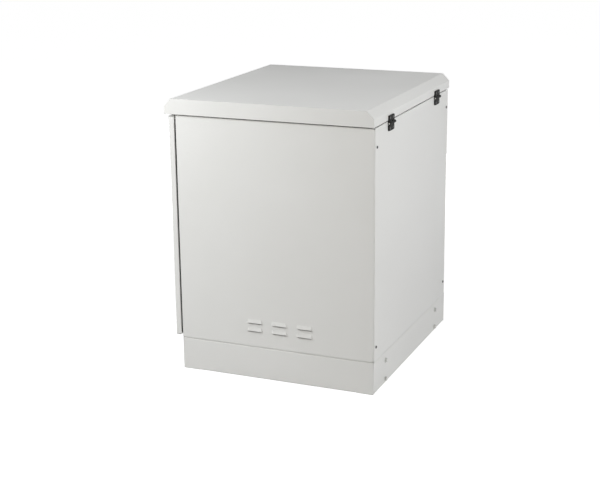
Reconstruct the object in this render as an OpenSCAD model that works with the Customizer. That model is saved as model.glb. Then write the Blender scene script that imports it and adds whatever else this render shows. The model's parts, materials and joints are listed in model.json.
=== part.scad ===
// Roadside utility cabinet of folded sheet steel, with louvred sides, a door, a hinged rain lid and a plinth.
// Millimetres, +Z up. The door faces -Y, and the origin is the middle of the footprint on the ground.

/* [Cabinet] */
// Width over the side panels
cabinet_w = 800; // [740:5:900]
// Depth from the door frame to the rear panel
cabinet_d = 700; // [640:5:780]
// Height of the side panels
panel_h = 778; // [720:1:880]
// Thickness of the panel sheet
sheet_t = 1.5; // [1.2:0.1:2]
// Inside radius of the folds in the panel sheet
fold_r = 1.5; // [1:0.1:2]
// Width of the folded sheet that frames the door and the lid
frame_flange = 40; // [38:0.5:45]
// Width of the folded returns behind the rear panel
rear_flange = 38; // [34:0.5:45]
// Width of the folded returns on the floor
floor_flange = 25; // [20:0.5:30]

/* [Plinth] */
// Height of the plinth
plinth_h = 112; // [105:1:150]
// Thickness of the plinth sheet
plinth_t = 2; // [1.5:0.1:3]
// Width of the shelf that carries the floor tray
plinth_shelf = 45; // [35:1:60]
// Width of the foot that rests on the ground
plinth_foot = 60; // [56:1:75]
// Distance of the anchor angles from the middle of the cabinet
anchor_x = 280; // [220:1:295]
// Distance of the anchor holes from the outer face
anchor_in = 36; // [32:1:42]
// Diameter of the anchor holes
anchor_d = 14; // [10:0.5:16]
// Height of the upper plinth bolts above the ground
plinth_bolt_z = 81; // [60:1:84]
// Thickness of the floor tray
tray_t = 2; // [1.5:0.1:3]

/* [Louvres] */
// Length of a louvre over its rounded ends
louvre_w = 58; // [40:1:64]
// Height of a louvre hood
louvre_rise = 13; // [9:0.5:16]
// Distance that a hood stands out from the sheet
louvre_out = 5; // [4:0.5:9]
// Distance between louvre columns
louvre_pitch_y = 91; // [75:1:100]
// Distance between louvre rows
louvre_pitch_z = 28.5; // [22:0.5:36]
// Height of the lowest opening above the floor
louvre_low = 56; // [48:0.5:80]
// Distance of the louvre group from the middle, towards the rear
louvre_shift = 15; // [0:1:30]

/* [Lid] */
// Gap under the lid, filled by its gasket
lid_gap = 4.5; // [3:0.5:6]
// Height of the upright skirt of the lid
lid_skirt = 27; // [24:0.5:34]
// Size of the slope between skirt and top
lid_chamfer = 25; // [18:0.5:32]
// Distance that the lid stands out over the door frame
lid_front_over = 37; // [34:0.5:50]
// Distance that the lid stands out over each side
lid_side_over = 9; // [6:0.5:16]
// Distance that the lid stands out over the rear panel
lid_rear_over = 0.5; // [0.4:0.1:2]

/* [Lid hinges] */
// Distance of each hinge from the middle of the cabinet
hinge_x = 250; // [180:1:300]
// Width of a hinge leaf
hinge_w = 50; // [44:1:60]
// Height of a hinge leaf from the pin axis
hinge_leaf = 25; // [23:0.5:28]
// Thickness of a hinge leaf
hinge_t = 5; // [4.5:0.1:6]
// Radius of the outer corners of a hinge leaf
hinge_corner = 4; // [2:0.5:6]
// Diameter of the hinge barrel
hinge_barrel_d = 10; // [9:0.2:10.8]
// Diameter of the hinge pin
hinge_pin_d = 5; // [4:0.1:6]
// Depth of the pin axis below the top of the panels
hinge_drop = 5; // [3:0.5:7]

/* [Door] */
// Gap between door and frame, filled by the gasket
door_gap = 6; // [5.5:0.1:7]
// Depth of the folded edge of the door
door_depth = 20; // [18:0.5:24]
// Clearance under the door
door_low_clear = 7; // [4:0.5:12]
// Clearance over the door
door_top_clear = 2; // [1:0.5:5]
// Width of the inner lip of the door
door_lip = 20; // [17:0.5:24]
// Width of the inner lip on the hinge side
door_hinge_lip = 38; // [36:0.5:44]

/* [Door hinges] */
// Distance of the pin axis from the side of the cabinet
pivot_out = 7; // [6.8:0.1:9]
// Diameter of a hinge barrel
pivot_barrel_d = 12; // [10:0.2:12.6]
// Diameter of a hinge pin
pivot_pin_d = 6; // [5:0.1:7]
// Height of one half of a hinge
pivot_half_h = 30; // [24:1:40]
// Distance of each hinge from the end of the door
pivot_end = 130; // [90:1:200]

/* [Locks] */
// Distance of the lock axis from the edge of the door frame
lock_in = 15; // [12:0.5:22]
// Distance of each lock from the end of the door
lock_end = 190; // [140:1:260]
// Diameter of the lock bezel
lock_bezel_d = 30; // [27:0.5:36]
// Diameter of the lock barrel
lock_barrel_d = 22; // [20:0.5:24]
// Diameter of the lock rotor
lock_rotor_d = 14; // [12.5:0.1:15]
// Width over the flats of the square drive
lock_square = 8; // [6:0.1:8.5]
// Length of the cam from the lock axis
cam_l = 32; // [28:0.5:38]
// Width of the cam
cam_w = 16; // [14:0.5:18]

/* [Inside] */
// Width of the mounting plate
plate_w = 640; // [560:5:660]
// Distance of the mounting plate below the top of the panels
plate_top = 78; // [70:1:120]
// Height of the mounting plate above the floor
plate_low = 100; // [70:5:120]
// Thickness of the mounting plate
plate_t = 2.5; // [2:0.1:4]
// Depth of the mounting rails
rail_depth = 25; // [20:0.5:40]
// Height of the mounting rails
rail_h = 44; // [36:0.5:60]
// Length of the equipment rails
equipment_w = 540; // [400:5:550]
// Length of the earth bar
earth_w = 220; // [160:5:300]
// Length of the lid stay
stay_l = 320; // [260:1:324]
// Diameter of the lid stay
stay_d = 8; // [7:0.1:9]
// Diameter of the bolt that locks the lid
bolt_d = 10; // [8:0.1:11]
// Travel of the bolt that locks the lid
bolt_travel = 16; // [12:0.5:17]

/* [Hidden] */
$fn = 64;

// Colours of the paint, black fittings, bare steel and seals
paint = [0.84, 0.84, 0.82];
black = [0.13, 0.13, 0.13];
steel = [0.66, 0.67, 0.68];
zinc = [0.74, 0.75, 0.74];
seal = [0.07, 0.07, 0.07];
copper = [0.76, 0.56, 0.3];

// Overrun of every cut
overrun = 1;
// Gap between pieces that are fixed side by side
fit_gap = 0.5;
// Radial clearance of a running fit
run_gap = 0.08;
// Radial clearance of a screw in its hole
hole_gap = 0.2;
// Radial clearance of a thread in its nut
thread_gap = 0.05;
// Clearance of a seal from the moving face that it meets
seal_gap = 0.3;

// Levels and faces that several pieces share
half_w = cabinet_w / 2;
half_d = cabinet_d / 2;
outer_r = fold_r + sheet_t;
floor_z = plinth_h + tray_t;
top_z = floor_z + panel_h;
lid_z = top_z + lid_gap;
lid_fold_z = lid_z + lid_skirt;
lid_top_z = lid_fold_z + lid_chamfer;
lid_half_w = half_w + lid_side_over;
lid_front_y = -half_d - lid_front_over;
lid_rear_y = half_d + lid_rear_over;
lid_under_z = lid_top_z - sheet_t;
door_back_y = -half_d - door_gap;
door_front_y = door_back_y - door_depth;
door_low_z = floor_z + door_low_clear;
door_top_z = top_z - door_top_clear;
door_h = door_top_z - door_low_z;

// Plinth: fold, end clearances, anchor angles and bolts
plinth_fold_r = 2;
plinth_butt = plinth_t + fit_gap;
angle_t = 4;
angle_w = 60;
angle_leg = plinth_h - 2 * plinth_t - plinth_fold_r;
angle_foot = plinth_foot - plinth_t;
plinth_bolt_d = 8;
plinth_bolt_af = 13;
plinth_bolt_head = 5.3;
plinth_washer_d = 18;
plinth_washer_t = 1.6;
plinth_bolt_l = 16;
plinth_nut_h = 6.5;
foot_bolt_up = 8.5;
plinth_bolt_zs = [plinth_t + angle_t + foot_bolt_up, plinth_bolt_z];

// Floor tray and gland plate
tray_inset = sheet_t + fit_gap;
gland_w = 420;
gland_d = 200;
gland_y = 60;
gland_t = 2;
gland_seal_t = 3;
gland_seal_w = 16;
gland_lap = 22;
gland_screw_d = 5;
gland_head_d = 9;
gland_head_h = 3;
gland_screw_in = 9;

// Rear panel: seam over the plinth, edges inside the corner folds, and its screws
rear_seam = 0.6;
rear_edge = 4;
rear_low_z = plinth_h + rear_seam;
rear_screw_in = 22;
rear_screw_top = 62;
rear_screw_low = 48;
rear_screw_d = 5;
rear_head_d = 9.5;
rear_head_h = 3;
rear_screw_l = 9;

// Door jambs, and header and sill with the plates that lap behind them
jamb_leg = 25;
rail_face_h = 45;
rail_back = 22;
lap_w = 38;
lap_in = 10;
lap_edge = 6;

// Louvres
louvre_cols = 3;
louvre_rows = 2;
louvre_t = 1.2;
louvre_span = louvre_w - 2 * louvre_out;
louvre_slope = sqrt(louvre_rise * louvre_rise + louvre_out * louvre_out);
louvre_bore_out = louvre_out - louvre_t * louvre_slope / louvre_rise;
louvre_bore_rise = louvre_rise - louvre_t * louvre_slope / louvre_out;
louvre_slot_share = 0.8;
louvre_mouth = 3.5;

// Lid: seal, return under the skirt, corner reliefs, stiffener
lid_seal_w = 12;
lid_seal_in = 4;
lid_return = 32;
lid_front_return = frame_flange + lid_seal_in;
relief_r = 2.2;
stiffener_w = 44;
stiffener_wing = 16;
stiffener_depth = 18;
stiffener_l = 560;

// Lid hinges: axis, knuckles and screws
hinge_y = lid_rear_y + hinge_t;
hinge_z = top_z - hinge_drop;
knuckle_gap = 0.5;
knuckle_proud = 2;
knuckle_share = 1 / 3;
knuckle_relief = 2;
hinge_screw_pitch = 30;
hinge_screw_rise = 17;
hinge_screw_d = 4;
hinge_head_d = 8;
hinge_head_h = 2.2;
hinge_screw_tail = 2;
hinge_pin_tail = 1;

// Door: seal, stiffener
door_seal_w = 10;
door_seal_in = 2;
door_seal_hinge_in = 26;
door_stiffener_depth = 15;
door_stiffener_end = 60;

// Door hinges
pivot_x = -half_w - pivot_out;
pivot_y = -half_d - door_gap / 2;
pivot_leaf_t = 2.5;
pivot_leaf_in = 22;
pivot_seam = 0.5;
pivot_pin_up = 24;
pivot_zs = [door_low_z + pivot_end, door_top_z - pivot_end];

// Locks
lock_x = half_w - frame_flange - lock_in;
lock_low_z = door_low_z + lock_end;
lock_top_z = door_top_z - lock_end;
lock_bezel_t = 4;
lock_tip = 1;
lock_nut_af = 28;
lock_nut_h = 5;
lock_recess = 1;
lock_drive = 9;
cam_t = 3;
cam_behind = 2.5;
cam_y = -half_d + sheet_t + cam_behind;
cam_gap = 0.1;
cam_screw_d = 5;
cam_screw_l = 10;
cam_head_af = 10;
cam_head_h = 4;

// Mounting plate, rails and earth bar
rail_end = 4;
rail_half_w = half_w - sheet_t - rail_end;
rail_front_y = half_d - 2 * sheet_t - rail_depth;
plate_front_y = rail_front_y - plate_t;
plate_z = floor_z + plate_low;
plate_h = panel_h - plate_low - plate_top;
rail_inset = 12;
rail_low_z = plate_z + rail_inset;
rail_top_z = plate_z + plate_h - rail_inset - rail_h;
plate_bolt_in = 40;
plate_bolt_d = 8;
plate_bolt_af = 13;
plate_bolt_head = 5.3;
plate_washer_d = 16;
plate_washer_t = 1.6;
plate_bolt_l = 15;
plate_nut_h = 6.5;
equipment_crown = 27;
equipment_wing = 4;
equipment_depth = 7.5;
equipment_t = 1;
equipment_low = 220;
equipment_top = 170;
equipment_zs = [plate_z + equipment_low, plate_z + plate_h - equipment_top];
equipment_screw_in = 30;
equipment_screw_d = 5;
equipment_head_d = 9;
equipment_head_h = 3;
equipment_screw_l = 7;
earth_h = 15;
earth_t = 5;
earth_low = 100;
earth_standoff_d = 16;
earth_standoff_l = 22;
earth_end = 14;
earth_steps = 7;
earth_screw_d = 6;
earth_head_af = 10;
earth_head_h = 4;
earth_screw_l = 12;

// Lid stay: pivot on the lid, clip, and the socket on the frame where its foot stands
stay_in = 30;
stay_x = half_w - frame_flange - stay_in;
stay_y = 30;
stay_up = 22;
stay_z = lid_z + stay_up;
stay_eye_d = 18;
stay_eye_w = 8;
stay_pin_d = 6;
stay_ear_t = 3;
stay_ear_w = 26;
stay_ear_below = 12;
stay_foot = 30;
stay_pin_tail = 2;
stay_clip_back = 265;
stay_clip_y = stay_y - stay_clip_back;
stay_clip_w = 18;
stay_clip_l = 12;
stay_clip_below = 6;
stay_clip_gap = 0.4;
stay_socket_y = 200;
stay_socket_w = 30;
stay_socket_t = 3;
stay_socket_lap = 16;
stay_socket_nose = 14;
stay_socket_gap = 0.5;

// Bolt that locks the lid: axis, guides, keeper and finger knob
keeper_t = 3;
keeper_clear = 1.5;
keeper_y = lid_front_return - half_d + fit_gap;
bolt_y = keeper_y + keeper_t + keeper_clear + bolt_d / 2;
bolt_drop = 17;
bolt_z = top_z - bolt_drop;
guide_w = 18;
guide_lap = 15;
guide_nose = 9;
guide_below = 10;
keeper_w = 24;
keeper_lap = 24;
keeper_toe = 14;
bolt_clear = 4;
bolt_guide_lead = 4;
bolt_tail = 8;
knob_d = 6;
knob_l = 20;
knob_clear = 2;
guide_gap = bolt_travel + knob_d + 2 * knob_clear;

// Places of the two fixed rows of four: plinth corners and rear panel corners
module at_plinth_corners() {
  for (side = [-1, 1])
    for (turn = [0, 1])
      mirror([0, turn, 0])
        translate([side * anchor_x, half_d, 0])
          children();
}

module at_rear_screws() {
  for (side = [-1, 1])
    for (z = [floor_z + rear_screw_low, top_z - rear_screw_top])
      translate([side * (half_w - rear_screw_in), half_d, z])
        rotate([-90, 0, 0])
          children();
}

// Turn a flat pan, drawn with its outer face down, so that this face looks to one side of the cabinet
module facing_front(x, y, z) { translate([x, y, z]) rotate([90, 0, 180]) children(); }
module facing_rear(x, y, z) { translate([x, y, z]) rotate([90, 0, 0]) children(); }
module facing_right(x, y, z) { translate([x, y, z]) rotate([90, 0, -90]) children(); }
module facing_left(x, y, z) { translate([x, y, z]) rotate([90, 0, 90]) children(); }

// Extrude a (y, z) outline along X, centred
module along_x(length) {
  translate([-length / 2, 0, 0])
    rotate([90, 0, 90])
      linear_extrude(length)
        children();
}

// Quarter-round fold of sheet along +Y, from a flat that starts at x = r + t to a wall that stands at x = 0
module fold(length, t, r) {
  translate([r + t, 0, r + t])
    rotate([-90, 0, 0])
      rotate([0, 0, 90])
        rotate_extrude(angle = 90)
          translate([r, 0])
            square([t, length]);
}

// Folded wall along +Y, with an inner lip when lip is above zero
module edge_return(length, wall, lip, t, r) {
  outer = r + t;
  fold(length, t, r);
  translate([0, 0, outer])
    cube([t, length, wall - outer - (lip > 0 ? outer : 0)]);
  if (lip > 0) {
    translate([0, 0, wall])
      mirror([0, 0, 1])
        fold(length, t, r);
    translate([outer, 0, wall - t])
      cube([lip - outer, length, t]);
  }
}

// Sheet pan with its outer face at z = 0. Each edge, as left, right, bottom, top, is [wall, lip, setback];
// a wall of zero leaves that edge plain, and a set-back wall leaves the flat to run on to a plain neighbour.
module folded_pan(size, edges, t, r) {
  outer = r + t;
  trim = [for (e = edges) e[0] > 0 ? outer : 0];
  translate([trim[0], trim[2], 0])
    cube([size[0] - trim[0] - trim[1], size[1] - trim[2] - trim[3], t]);
  for (end = [0, 1])
    if (edges[end][0] > 0)
      translate([end * size[0], edges[end][2], 0])
        mirror([end, 0, 0])
          edge_return(size[1] - 2 * edges[end][2], edges[end][0], edges[end][1], t, r);
  for (end = [0, 1])
    if (edges[2 + end][0] > 0)
      translate([0, end * size[1], 0])
        mirror([0, end, 0]) {
          back = edges[2 + end][2];
          translate([back, 0, 0])
            mirror([1, -1, 0])
              edge_return(size[0] - 2 * back, edges[2 + end][0], edges[2 + end][1], t, r);
          for (side = [0, 1])
            if (back > 0 && trim[side] == 0)
              translate([side * (size[0] - back), 0, 0])
                cube([back, outer, t]);
        }
}

// Hat profile with its wings on y = 0 and its crown at y = depth
module hat_section(crown, depth, wing, t) {
  half = crown / 2;
  polygon([
    [-half - wing, 0], [t - half, 0], [t - half, depth - t], [half - t, depth - t], [half - t, 0],
    [half + wing, 0],
    [half + wing, t], [half, t], [half, depth], [-half, depth], [-half, t], [-half - wing, t]
  ]);
}

// Round-headed screw with its seat at z = 0 and its head up
module pan_screw(d, head_d, head_h, length) {
  translate([0, 0, -length])
    cylinder(d = d, h = length + head_h / 2);
  cylinder(d1 = head_d, d2 = head_d - head_h / 2, h = head_h);
}

// Hexagon bolt with a washer, its seat at z = 0 and its head up
module hex_bolt(d, af, head_h, length, washer_d, washer_t) {
  translate([0, 0, -length])
    cylinder(d = d, h = length + washer_t);
  if (washer_t > 0)
    cylinder(d = washer_d, h = washer_t);
  translate([0, 0, washer_t])
    cylinder(d = af / cos(30), h = head_h, $fn = 6);
}

// Hexagon nut with its seat at z = 0, standing up
module hex_nut(d, af, h) {
  difference() {
    cylinder(d = af / cos(30), h = h, $fn = 6);
    translate([0, 0, -overrun])
      cylinder(d = d, h = h + 2 * overrun);
  }
}

// Plinth: four channels, the front and rear ones over the full width
module plinth_channel(length, shelf_back, foot_back) {
  folded_pan([length, plinth_h],
    [[0, 0, 0], [0, 0, 0], [plinth_foot, 0, foot_back], [plinth_shelf, 0, shelf_back]],
    plinth_t, plinth_fold_r);
}

module plinth_cuts() {
  at_plinth_corners() {
    for (z = plinth_bolt_zs)
      translate([0, 0, z])
        rotate([90, 0, 0])
          translate([0, 0, -overrun])
            cylinder(d = plinth_bolt_d + 2 * hole_gap, h = plinth_t + 2 * overrun);
    translate([0, -anchor_in, -overrun])
      cylinder(d = anchor_d, h = plinth_t + 2 * overrun);
  }
}

module plinth_front() {
  color(paint)
    difference() {
      facing_front(half_w, -half_d, 0)
        plinth_channel(cabinet_w, plinth_butt, plinth_butt);
      plinth_cuts();
    }
}

module plinth_rear() {
  color(paint)
    difference() {
      facing_rear(-half_w, half_d, 0)
        plinth_channel(cabinet_w, plinth_butt, plinth_butt);
      plinth_cuts();
    }
}

module plinth_side() {
  plinth_channel(cabinet_d - 2 * plinth_t,
    plinth_shelf - plinth_t + fit_gap, plinth_foot - plinth_t + fit_gap);
}

module plinth_left() {
  color(paint)
    facing_left(-half_w, plinth_t - half_d, 0)
      plinth_side();
}

module plinth_right() {
  color(paint)
    facing_right(half_w, half_d - plinth_t, 0)
      plinth_side();
}

// Angles behind the plinth bolts, with the anchor holes in their feet
module anchor_angles() {
  color(zinc)
    difference() {
      at_plinth_corners()
        translate([-angle_w / 2, -plinth_t, plinth_t])
          rotate([90, 0, 90])
            linear_extrude(angle_w)
              polygon([
                [0, angle_leg], [-angle_t, angle_leg], [-angle_t, angle_t], [-angle_foot, angle_t],
                [-angle_foot, 0], [-plinth_fold_r, 0], [0, plinth_fold_r]
              ]);
      at_plinth_corners() {
        for (z = plinth_bolt_zs)
          translate([0, 0, z])
            rotate([90, 0, 0])
              cylinder(d = plinth_bolt_d + 2 * hole_gap, h = plinth_t + angle_t + overrun);
        translate([0, -anchor_in, 0])
          cylinder(d = anchor_d, h = plinth_t + angle_t + overrun);
      }
    }
}

module plinth_bolts() {
  color(steel)
    at_plinth_corners()
      for (z = plinth_bolt_zs)
        translate([0, 0, z])
          rotate([-90, 0, 0])
            hex_bolt(plinth_bolt_d, plinth_bolt_af, plinth_bolt_head, plinth_bolt_l, plinth_washer_d,
              plinth_washer_t);
}

module plinth_nuts() {
  color(steel)
    at_plinth_corners()
      for (z = plinth_bolt_zs)
        translate([0, -plinth_t - angle_t, z])
          rotate([90, 0, 0])
            hex_nut(plinth_bolt_d + 2 * thread_gap, plinth_bolt_af, plinth_nut_h);
}

// Floor tray with an opening under the gland plate
module floor_tray() {
  hole = [gland_w - 2 * gland_lap, gland_d - 2 * gland_lap];
  color(paint)
    difference() {
      translate([tray_inset - half_w, tray_inset - half_d, plinth_h])
        cube([cabinet_w - 2 * tray_inset, cabinet_d - 2 * tray_inset, tray_t]);
      translate([-hole[0] / 2, gland_y - hole[1] / 2, plinth_h - overrun])
        cube([hole[0], hole[1], tray_t + 2 * overrun]);
      at_gland_screws()
        translate([0, 0, -gland_seal_t - gland_t - tray_t - overrun])
          cylinder(d = gland_screw_d + 2 * hole_gap, h = tray_t + 2 * overrun);
    }
}

module at_gland_screws() {
  reach = [gland_w / 2 - gland_screw_in, gland_d / 2 - gland_screw_in];
  for (x = [-reach[0], 0, reach[0]])
    for (y = [-reach[1], reach[1]])
      translate([x, gland_y + y, floor_z + gland_seal_t + gland_t])
        children();
}

module gland_sheet(low, t) {
  translate([-gland_w / 2, gland_y - gland_d / 2, low])
    cube([gland_w, gland_d, t]);
}

module gland_plate() {
  color(zinc)
    difference() {
      gland_sheet(floor_z + gland_seal_t, gland_t);
      at_gland_screws()
        translate([0, 0, -gland_t - overrun])
          cylinder(d = gland_screw_d + 2 * hole_gap, h = gland_t + 2 * overrun);
    }
}

module gland_gasket() {
  inner = [gland_w - 2 * gland_seal_w, gland_d - 2 * gland_seal_w];
  color(seal)
    difference() {
      gland_sheet(floor_z, gland_seal_t);
      translate([-inner[0] / 2, gland_y - inner[1] / 2, floor_z - overrun])
        cube([inner[0], inner[1], gland_seal_t + 2 * overrun]);
      at_gland_screws()
        translate([0, 0, -gland_seal_t - gland_t - overrun])
          cylinder(d = gland_screw_d + 2 * hole_gap, h = gland_seal_t + 2 * overrun);
    }
}

module gland_screws() {
  color(steel)
    at_gland_screws()
      pan_screw(gland_screw_d, gland_head_d, gland_head_h, gland_t + gland_seal_t + tray_t + gland_head_h);
}

// Space under a louvre hood: its mouth along x at y = below, closed at y = rise, standing out to -z
module hood(span, out, rise, below) {
  foot = below < 0 ? [[below, 0], [below, -out]] : [[0, 0]];
  rotate([90, 0, 90])
    translate([0, 0, -span / 2])
      linear_extrude(span)
        polygon(concat(foot, [[0, -out], [rise, 0]]));
  disc = below < 0 ? [[0, below], [out, below]] : [[0, 0]];
  for (side = [-1, 1])
    translate([side * span / 2, 0, 0])
      rotate([-90, 0, 0])
        rotate([0, 0, side > 0 ? 0 : 90])
          rotate_extrude(angle = 90)
            polygon(concat(disc, [[out, 0], [0, rise]]));
}

module at_louvres() {
  for (col = [0 : louvre_cols - 1])
    for (row = [0 : louvre_rows - 1])
      translate([half_w, louvre_shift + (col - (louvre_cols - 1) / 2) * louvre_pitch_y,
          floor_z + louvre_low + row * louvre_pitch_z])
        rotate([90, 0, -90])
          children();
}

// Side panel of the right-hand side: a pan with returns at its rear, floor and top, and pressed louvres
module side_panel() {
  difference() {
    union() {
      facing_right(half_w, half_d - sheet_t, floor_z)
        folded_pan([cabinet_d - sheet_t, panel_h],
          [[rear_flange, 0, outer_r], [0, 0, 0], [floor_flange, 0, outer_r], [frame_flange, 0, outer_r]],
          sheet_t, fold_r);
      at_louvres()
        hood(louvre_span, louvre_out, louvre_rise, 0);
    }
    at_louvres() {
      hood(louvre_span, louvre_bore_out, louvre_bore_rise, -overrun);
      translate([-louvre_span / 2, -louvre_mouth, -overrun])
        cube([louvre_span, louvre_mouth + louvre_bore_rise * louvre_slot_share, sheet_t + 2 * overrun]);
    }
    at_rear_screws()
      translate([0, 0, -2 * sheet_t - overrun])
        cylinder(d = rear_screw_d + 2 * hole_gap, h = 2 * sheet_t + 2 * overrun);
  }
}

module right_panel() {
  color(paint)
    side_panel();
}

module left_panel() {
  color(paint)
    mirror([1, 0, 0])
      side_panel();
}

// Rear panel, screwed over the returns of the side panels, with a return at its top
module rear_panel() {
  color(paint)
    difference() {
      facing_rear(rear_edge - half_w, half_d, rear_low_z)
        folded_pan([cabinet_w - 2 * rear_edge, top_z - rear_low_z],
          [[0, 0, 0], [0, 0, 0], [0, 0, 0], [frame_flange, 0, frame_flange + fit_gap - rear_edge]],
          sheet_t, fold_r);
      at_rear_screws()
        translate([0, 0, -sheet_t - overrun])
          cylinder(d = rear_screw_d + 2 * hole_gap, h = sheet_t + 2 * overrun);
      at_hinge_screws(half_d, -1)
        translate([0, 0, -sheet_t - overrun])
          cylinder(d = hinge_screw_d + 2 * hole_gap, h = sheet_t + 2 * overrun);
    }
}

module rear_screws() {
  color(black)
    at_rear_screws()
      pan_screw(rear_screw_d, rear_head_d, rear_head_h, rear_screw_l);
}

// Door jambs: angles inside the front edges of the side panels
module door_jamb() {
  facing_front(half_w - sheet_t, -half_d, floor_z)
    folded_pan([frame_flange - sheet_t, panel_h],
      [[jamb_leg, 0, outer_r + fit_gap], [0, 0, 0], [0, 0, 0], [0, 0, 0]], sheet_t, fold_r);
}

module right_jamb() {
  color(paint)
    door_jamb();
}

module left_jamb() {
  color(paint)
    mirror([1, 0, 0])
      door_jamb();
}

// Cross rail over or under the door, with plates that lap behind the jambs
module cross_rail(low_wall, top_wall) {
  rail_w = cabinet_w - 2 * frame_flange - 2 * fit_gap;
  facing_front(rail_w / 2, -half_d, 0)
    folded_pan([rail_w, rail_face_h],
      [[0, 0, 0], [0, 0, 0], [low_wall, 0, 0], [top_wall, 0, 0]], sheet_t, fold_r);
  for (side = [-1, 1])
    translate([side * (half_w - frame_flange + lap_in - lap_w / 2) - lap_w / 2, sheet_t - half_d,
        outer_r + lap_edge])
      cube([lap_w, sheet_t, rail_face_h - 2 * outer_r - 2 * lap_edge]);
}

module door_header() {
  color(paint)
    translate([0, 0, top_z - rail_face_h])
      cross_rail(rail_back, frame_flange);
}

module door_sill() {
  color(paint)
    translate([0, 0, floor_z])
      cross_rail(frame_flange, rail_back);
}

// Flat ring of seal between two rectangles, each [low x, low y, high x, high y]
module seal_ring(out, inn, t) {
  difference() {
    translate([out[0], out[1], 0])
      cube([out[2] - out[0], out[3] - out[1], t]);
    translate([inn[0], inn[1], -overrun])
      cube([inn[2] - inn[0], inn[3] - inn[1], t + 2 * overrun]);
  }
}

module lid_gasket() {
  x = half_w - lid_seal_in;
  y = half_d - lid_seal_in;
  w = lid_seal_w;
  color(seal)
    translate([0, 0, top_z])
      seal_ring([-x, -y, x, y], [w - x, w - y, x - w, y - w], lid_gap - seal_gap);
}

// Lid hinges
module at_hinges() {
  for (side = [-1, 1])
    translate([side * hinge_x, 0, 0])
      children();
}

module at_hinge_screws(y, way) {
  at_hinges()
    for (side = [-1, 1])
      translate([side * hinge_screw_pitch / 2, y, hinge_z + way * hinge_screw_rise])
        rotate([-90, 0, 0])
          children();
}

module barrel(from, to, d) {
  translate([from, hinge_y, hinge_z])
    rotate([0, 90, 0])
      cylinder(d = d, h = to - from);
}

// Outline of a leaf from the pin axis, with its outer corners rounded
module leaf_outline(way) {
  far = hinge_leaf - hinge_corner;
  mirror([0, way > 0 ? 0 : 1]) {
    translate([-hinge_w / 2, 0])
      square([hinge_w, far]);
    translate([hinge_corner - hinge_w / 2, 0])
      square([hinge_w - 2 * hinge_corner, hinge_leaf]);
    for (side = [-1, 1])
      translate([side * (hinge_w / 2 - hinge_corner), far])
        circle(r = hinge_corner);
  }
}

// One leaf from the pin axis, up for way = 1 and down for way = -1, with its knuckles in the middle or
// at the ends
module hinge_leaf_body(back_y, way, middle) {
  third = hinge_w * knuckle_share / 2;
  half = hinge_w / 2;
  clear = hinge_barrel_d / 2 + knuckle_relief;
  difference() {
    union() {
      translate([0, back_y + hinge_t, hinge_z])
        rotate([90, 0, 0])
          linear_extrude(hinge_t)
            leaf_outline(way);
      if (middle)
        barrel(-third, third, hinge_barrel_d);
      else
        for (side = [-1, 1])
          barrel(side > 0 ? third + knuckle_gap : -half - knuckle_proud,
            side > 0 ? half + knuckle_proud : -third - knuckle_gap, hinge_barrel_d);
    }
    if (middle)
      for (side = [-1, 1])
        translate([side > 0 ? third : -half - overrun, back_y - overrun, hinge_z - clear])
          cube([half - third + overrun, hinge_t + 2 * overrun, clear + overrun]);
    else
      translate([-third - knuckle_gap, back_y - overrun, hinge_z - overrun])
        cube([2 * third + 2 * knuckle_gap, hinge_t + 2 * overrun, clear + overrun]);
    barrel(-half - knuckle_proud - overrun, half + knuckle_proud + overrun, hinge_pin_d + 2 * run_gap);
  }
}

module hinge_leaf_cuts(back_y, way) {
  at_hinge_screws(back_y + hinge_t, way) {
    translate([0, 0, -hinge_t - overrun])
      cylinder(d = hinge_screw_d + 2 * hole_gap, h = hinge_t + 2 * overrun);
    translate([0, 0, -hinge_head_h])
      cylinder(d = hinge_head_d + 2 * hole_gap, h = hinge_head_h + overrun);
  }
}

module lid_hinge_lower_leaves() {
  color(black)
    difference() {
      at_hinges()
        hinge_leaf_body(half_d, -1, true);
      hinge_leaf_cuts(half_d, -1);
    }
}

module lid_hinge_upper_leaves() {
  color(black)
    difference() {
      at_hinges()
        hinge_leaf_body(lid_rear_y, 1, false);
      hinge_leaf_cuts(lid_rear_y, 1);
    }
}

module lid_hinge_pins() {
  reach = hinge_w / 2 + knuckle_proud + hinge_pin_tail;
  color(steel)
    at_hinges()
      barrel(-reach, reach, hinge_pin_d);
}

module hinge_screw() {
  translate([0, 0, -hinge_head_h])
    cylinder(d = hinge_head_d, h = hinge_head_h);
  translate([0, 0, -hinge_t - sheet_t - hinge_screw_tail])
    cylinder(d = hinge_screw_d, h = hinge_t + sheet_t + hinge_screw_tail - hinge_head_h / 2);
}

module lid_hinge_lower_screws() {
  color(black)
    at_hinge_screws(half_d + hinge_t, -1)
      hinge_screw();
}

module lid_hinge_upper_screws() {
  color(black)
    at_hinge_screws(lid_rear_y + hinge_t, 1)
      hinge_screw();
}

// Door hinges: lift-off halves, the frame half with the pin
module pivot_leaf(y, z, h) {
  translate([pivot_x, y, z])
    cube([pivot_out + pivot_leaf_in, pivot_leaf_t, h]);
}

module door_hinge_frame_halves() {
  color(black)
    for (z = pivot_zs) {
      h = pivot_half_h - pivot_seam / 2;
      translate([pivot_x, pivot_y, z - pivot_half_h]) {
        cylinder(d = pivot_barrel_d, h = h);
        cylinder(d = pivot_pin_d, h = pivot_half_h + pivot_pin_up);
      }
      pivot_leaf(-half_d - pivot_leaf_t, z - pivot_half_h, h);
    }
}

module door_hinge_door_halves() {
  color(black)
    for (z = pivot_zs) {
      low = z + pivot_seam / 2;
      h = pivot_half_h - pivot_seam / 2;
      difference() {
        union() {
          translate([pivot_x, pivot_y, low])
            cylinder(d = pivot_barrel_d, h = h);
          pivot_leaf(door_back_y, low, h);
        }
        translate([pivot_x, pivot_y, low - overrun])
          cylinder(d = pivot_pin_d + 2 * run_gap, h = h + 2 * overrun);
      }
    }
}

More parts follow.
